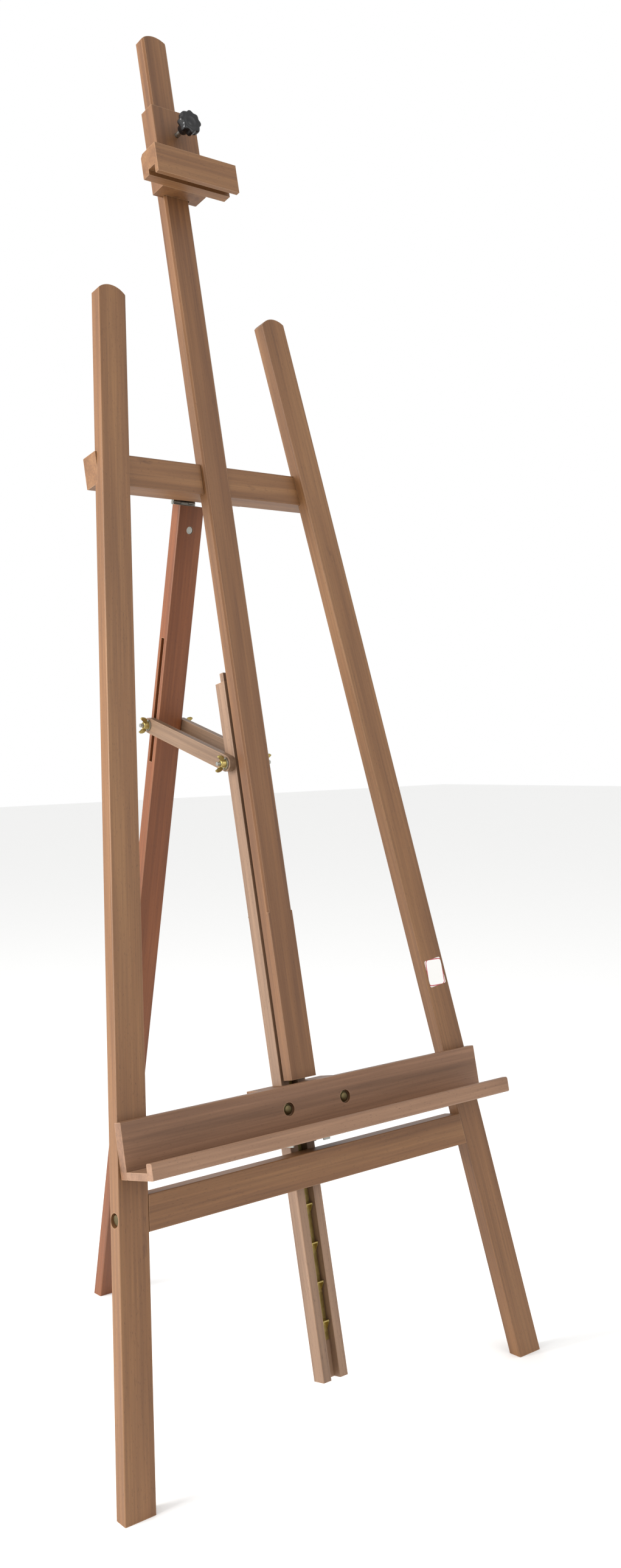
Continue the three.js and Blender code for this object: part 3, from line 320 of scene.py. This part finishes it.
star = bmesh.new()
turned(star, KNOB_OUTLINE, 128, lobed)
knob_face = LEANING @ Matrix.Translation(KNOB_PLACE) @ Matrix.Rotation(QUARTER, 4, "X")
keep("star_knob", mesh_of("star_knob", star, knob_face), black_nylon, "knob", "black_plastic", "knob")


# ---- Wing nuts ----
# Five pressed wing nuts in yellow zinc: a tapered hub with a bore and two ears that sweep up and out. Four
# clamp the struts, one clamps the mast.
EAR = [(2.8, 1.4), (6.2, 1.2), (9.6, 2), (12, 4.4), (13.2, 7.8), (13.3, 11), (12.2, 13.4), (10.4, 13.9),
       (9, 12.6), (8, 9.6), (6.6, 7.4), (2.8, 7.6)]
EAR_HALF_THICKNESS = 1.3
HUB = [(3.3, 0.2), (3.8, 0), (6.2, 0), (6.5, 0.4), (6.4, 1.4), (5.5, 6.6), (5, 7.7), (4.4, 8), (3.7, 8),
       (3.3, 7.6), (3.3, 0.2)]


def walled(shape, outlines):
    """Two equal outlines, each closed by a face, with a wall between them."""
    ends = [[shape.verts.new(point) for point in outline] for outline in outlines]
    caps = [shape.faces.new(end) for end in ends]
    for i in range(len(ends[0])):
        j = (i + 1) % len(ends[0])
        shape.faces.new([ends[0][i], ends[0][j], ends[1][j], ends[1][i]])
    return caps


def wing_nut():
    shape = bmesh.new()
    turned(shape, HUB, 32)
    for side in (1, -1):
        caps = walled(shape, [[(side * x, y, z) for x, z in EAR]
                              for y in (-EAR_HALF_THICKNESS, EAR_HALF_THICKNESS)])
        edges = list({edge for cap in caps for edge in cap.edges})
        bmesh.ops.bevel(shape, geom=edges, offset=0.9, segments=3, affect="EDGES", profile=0.6)
    return shape


NUT_HEIGHT = 14 * MM
strut_turn = Matrix.Rotation(STRUT_RISE, 4, "X")
for node, body, turn in [
        ("front_wing_nut_left", "front_nut_left", strut_turn @ Matrix.Rotation(-QUARTER, 4, "Y")),
        ("front_wing_nut_right", "front_nut_right", strut_turn @ Matrix.Rotation(QUARTER, 4, "Y")),
        ("slot_wing_nut_left", "slot_nut_left", strut_turn @ Matrix.Rotation(-QUARTER, 4, "Y")),
        ("slot_wing_nut_right", "slot_nut_right", strut_turn @ Matrix.Rotation(QUARTER, 4, "Y")),
        ("mast_wing_nut", "mast_nut", Matrix.Rotation(-LEAN - QUARTER, 4, "X"))]:
    low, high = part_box(node)
    seat = (low + high) / 2 - turn.to_3x3() @ Vector((0, 0, NUT_HEIGHT / 2))
    mesh = mesh_of(node + "_pressed", wing_nut(), Matrix.Translation(seat) @ turn)
    keep(node + "_pressed", mesh, yellow_zinc, body, "yellow_zinc", node)


# ---- Bolts of the tray ----
# Two coach bolts with low domed heads on a flange, sunk in the backboard and olive with their chromate.
COACH_BOLT = [(0, 4), (2.4, 3.86), (4.6, 3.4), (6, 2.7), (6.5, 1.9), (6.6, 1.5), (7.6, 1.3), (8, 0.9), (8, 0),
              (3, 0), (3, -84.3), (2.4, -84.9), (0, -84.9)]
for side, x in (("left", -0.0515), ("right", 0.0515)):
    node = f"tray_bolt_{side}"
    bolt = bmesh.new()
    turned(bolt, COACH_BOLT, 40)
    head = LEANING @ Matrix.Translation((x, -0.0109, 0.451)) @ Matrix.Rotation(QUARTER, 4, "X")
    keep(f"coach_bolt_{side}", mesh_of(node, bolt, head), olive_zinc, "tray", "steel", node)


# ---- Toothed rack ----
# A yellow zinc strip in the rail's groove with eight tabs punched forward out of it, each flat on top and
# braced by its bent sides, so that the pawl can rest on it.
TAB_COUNT = 8
TAB_PITCH = 0.055
FIRST_TAB = 0.1428
STRIP_MIDDLE = (0, 47.2, 331.4)
STRIP_SIZE = (14, 1.6, 434.8, 1)
TAB_HALF_WIDTH = 5.5
SHEET = 1.2
FOLD = [(46.6, 0), (38.9, 0), (38.4, -0.5), (38.4, -2.2), (39.4, -2.2), (39.8, -1.6), (45, -1.6), (45.4, -2),
        (45.4, -16.5), (46.6, -17)]
WEB = [(46.6, -0.2), (38.6, -0.2), (38.6, -3.5), (46.6, -16)]
strip = bmesh.new()
bmesh.ops.create_cube(strip, size=1)
strip_place = Matrix.Translation(STRIP_MIDDLE) @ Matrix.Diagonal(STRIP_SIZE)
bmesh.ops.transform(strip, matrix=strip_place, verts=strip.verts)
bmesh.ops.bevel(strip, geom=list(strip.edges), offset=0.3, segments=2, affect="EDGES")
keep("punched_rack", mesh_of("punched_rack", strip, LEANING), yellow_zinc, "frame", "yellow_zinc",
     "ratchet_rack")
tab = bmesh.new()
bends = [(FOLD, -TAB_HALF_WIDTH, TAB_HALF_WIDTH), (WEB, -TAB_HALF_WIDTH, -TAB_HALF_WIDTH + SHEET),
         (WEB, TAB_HALF_WIDTH - SHEET, TAB_HALF_WIDTH)]
for bend, left_x, right_x in bends:
    walled(tab, [[(x, y, z) for y, z in bend] for x in (left_x, right_x)])
tab_mesh = mesh_of("rack_tab", tab, Matrix.Identity(4))
tab_object = bpy.data.objects.new("rack_tab", tab_mesh)

punch = bpy.data.node_groups.new("rack_tabs", "GeometryNodeTree")
punch.interface.new_socket("Geometry", in_out="INPUT", socket_type="NodeSocketGeometry")
for label, kind in (("Tabs", "NodeSocketInt"), ("Pitch", "NodeSocketFloat"),
                    ("First Height", "NodeSocketFloat"), ("Tab", "NodeSocketObject")):
    punch.interface.new_socket(label, in_out="INPUT", socket_type=kind)
punch.interface.new_socket("Geometry", in_out="OUTPUT", socket_type="NodeSocketGeometry")
given = add(punch, "NodeGroupInput").outputs
step = add(punch, "ShaderNodeCombineXYZ", Z=given["Pitch"]).outputs["Vector"]
start = add(punch, "ShaderNodeCombineXYZ", Z=given["First Height"]).outputs["Vector"]
line = add(punch, "GeometryNodeMeshLine", Count=given["Tabs"], Start_Location=start,
           Offset=step).outputs["Mesh"]
shape = add(punch, "GeometryNodeObjectInfo", Object=given["Tab"]).outputs["Geometry"]
row = add(punch, "GeometryNodeInstanceOnPoints", Points=line, Instance=shape).outputs["Instances"]
leaned = add(punch, "GeometryNodeTransform", Geometry=row, Translation=(0, front_feet_y, 0),
             Rotation=(-LEAN, 0, 0)).outputs["Geometry"]
solid = add(punch, "GeometryNodeRealizeInstances", Geometry=leaned).outputs["Geometry"]
painted = add(punch, "GeometryNodeSetMaterial", Geometry=solid, Material=yellow_zinc).outputs["Geometry"]
add(punch, "NodeGroupOutput", Geometry=painted)


def grown(name, tree, values):
    """The mesh that a node tree makes, with its inputs set, as a plain mesh."""
    seed = bpy.data.objects.new(name, bpy.data.meshes.new(name))
    bpy.context.scene.collection.objects.link(seed)
    modifier = seed.modifiers.new("nodes", "NODES")
    modifier.node_group = tree
    for item in tree.interface.items_tree:
        if item.name in values:
            modifier[item.identifier] = values[item.name]
    bpy.context.view_layer.update()
    grown_mesh = bpy.data.meshes.new_from_object(seed.evaluated_get(bpy.context.evaluated_depsgraph_get()))
    bpy.data.objects.remove(seed)
    return grown_mesh


tabs = grown("rack_tabs", punch,
             {"Tabs": TAB_COUNT, "Pitch": TAB_PITCH, "First Height": FIRST_TAB, "Tab": tab_object})
bpy.data.objects.remove(tab_object)
keep("rack_tabs", tabs, yellow_zinc, "frame", "yellow_zinc", "ratchet_rack")


# ---- Pawl spring ----
# A short torsion spring of bright wire wound round the pawl's pin, which presses the pawl against the rack.
coil = bpy.data.node_groups.new("wound_spring", "GeometryNodeTree")
coil.interface.new_socket("Geometry", in_out="INPUT", socket_type="NodeSocketGeometry")
for label in ("Turns", "Radius", "Length", "Wire Radius"):
    coil.interface.new_socket(label, in_out="INPUT", socket_type="NodeSocketFloat")
coil.interface.new_socket("Geometry", in_out="OUTPUT", socket_type="NodeSocketGeometry")
given = add(coil, "NodeGroupInput").outputs
helix = add(coil, "GeometryNodeCurveSpiral", Resolution=24, Rotations=given["Turns"],
            Start_Radius=given["Radius"], End_Radius=given["Radius"],
            Height=given["Length"]).outputs["Curve"]
wire = add(coil, "GeometryNodeCurvePrimitiveCircle", Resolution=10,
           Radius=given["Wire Radius"]).outputs["Curve"]
tube = add(coil, "GeometryNodeCurveToMesh", Curve=helix, Profile_Curve=wire, Fill_Caps=True).outputs["Mesh"]
spring_place = LEANING @ Matrix.Translation((0.0085, 0.020, 0.400)) @ Matrix.Rotation(QUARTER, 4, "Y")
set_down = add(coil, "GeometryNodeTransform", Geometry=tube, Translation=spring_place.to_translation(),
               Rotation=tuple(spring_place.to_euler())).outputs["Geometry"]
whole = add(coil, "GeometryNodeRealizeInstances", Geometry=set_down).outputs["Geometry"]
plated_wire = add(coil, "GeometryNodeSetMaterial", Geometry=whole, Material=bright_zinc).outputs["Geometry"]
add(coil, "NodeGroupOutput", Geometry=plated_wire)
spring = grown("wound_spring", coil, {"Turns": 5.0, "Radius": 0.0053, "Length": 0.005, "Wire Radius": 0.0004})
keep("wound_spring", spring, bright_zinc, "tray", "steel", "pawl_spring")


# ---- Blank label ----
# A small glossy paper label on the right leg, white with a thin red border that has rounded corners. It
# carries no lettering.
label_paper, tree = blank("label_paper")
place = add(tree, "ShaderNodeTexCoord").outputs["Generated"]
centred = add(tree, "ShaderNodeVectorMath", {"operation": "SUBTRACT"},
              i0=place, i1=(0.5, 0.5, 0.5)).outputs[0]
apart = add(tree, "ShaderNodeVectorMath", {"operation": "ABSOLUTE"}, i0=centred).outputs[0]
sized = add(tree, "ShaderNodeVectorMath", {"operation": "MULTIPLY"}, i0=apart, i1=(34, 0, 42)).outputs[0]
past = add(tree, "ShaderNodeVectorMath", {"operation": "SUBTRACT"}, i0=sized, i1=(9.5, 0, 13.5)).outputs[0]
corner = add(tree, "ShaderNodeVectorMath", {"operation": "MAXIMUM"}, i0=past, i1=(0, 0, 0)).outputs[0]
reach = add(tree, "ShaderNodeVectorMath", {"operation": "LENGTH"}, i0=corner).outputs["Value"]
inner = add(tree, "ShaderNodeMath", {"operation": "GREATER_THAN"}, i0=reach, i1=4.6).outputs[0]
outer = add(tree, "ShaderNodeMath", {"operation": "LESS_THAN"}, i0=reach, i1=6.2).outputs[0]
line = add(tree, "ShaderNodeMath", {"operation": "MULTIPLY"}, i0=inner, i1=outer).outputs[0]
fibre = add(tree, "ShaderNodeTexNoise", Vector=place, Scale=60.0, Detail=3.0).outputs["Fac"]
paper = add(tree, "ShaderNodeMix", {"data_type": "RGBA"},
            i0=fibre, i6=srgb("#e4e2df"), i7=srgb("#f2f1ee")).outputs[2]
printed = add(tree, "ShaderNodeMix", {"data_type": "RGBA"}, i0=line, i6=paper, i7=srgb("#b04a50")).outputs[2]
add(tree, "ShaderNodeOutputMaterial",
    Surface=add(tree, "ShaderNodeBsdfPrincipled", Base_Color=printed, Roughness=0.35).outputs["BSDF"])
label = bmesh.new()
LABEL_CORNER = 3
ARC_STEPS = 6
outline = []
for cx, cz, first in ((14, 18, 0), (-14, 18, 90), (-14, -18, 180), (14, -18, 270)):
    for i in range(ARC_STEPS + 1):
        angle = math.radians(first + 90 / ARC_STEPS * i)
        outline.append((cx + LABEL_CORNER * math.cos(angle), cz + LABEL_CORNER * math.sin(angle)))
walled(label, [[(x, y, z) for x, z in outline] for y in (-0.25, -0.05)])
label_place = LEANING @ Matrix.Translation((0.2795, 0, 0.605)) @ Matrix.Rotation(-SPLAY, 4, "Y")
keep("blank_label", mesh_of("blank_label", label, label_place), label_paper, "frame", "beech")


# ---- Floor and light ----
# A plain pale floor, a white surround, a large soft light on the left and a weak one in front.
bpy.ops.mesh.primitive_plane_add(size=40)
floor = bpy.context.object
floor.name = "floor"
paint, tree = blank("pale_floor")
add(tree, "ShaderNodeOutputMaterial",
    Surface=add(tree, "ShaderNodeBsdfPrincipled", Base_Color=srgb("#fdfdfc"), Roughness=0.8).outputs["BSDF"])
floor.data.materials.append(paint)


def soft_light(name, place, aim, size, power):
    lamp = bpy.data.lights.new(name, "AREA")
    lamp.shape, lamp.size, lamp.energy = "DISK", size, power
    holder = bpy.data.objects.new(name, lamp)
    bpy.context.scene.collection.objects.link(holder)
    holder.location = place
    holder.rotation_euler = (Vector(aim) - Vector(place)).to_track_quat("-Z", "Y").to_euler()


middle = Vector((0, 0, 1.0))
soft_light("left_light", (-3.6, 0.6, 2.0), middle, 2.2, 190)
soft_light("front_light", (0.6, -4.0, 2.6), middle, 2.5, 35)
world = bpy.data.worlds.new("surround")
bpy.context.scene.world = world
world.use_nodes = True
tree = world.node_tree
tree.nodes.clear()
seen = add(tree, "ShaderNodeLightPath").outputs["Is Camera Ray"]
glow = add(tree, "ShaderNodeMapRange", Value=seen, To_Min=0.9, To_Max=1.0).outputs["Result"]
add(tree, "ShaderNodeOutputWorld",
    Surface=add(tree, "ShaderNodeBackground", Color=srgb("#ffffff"), Strength=glow).outputs["Background"])
bpy.context.scene.view_settings.view_transform = "Standard"
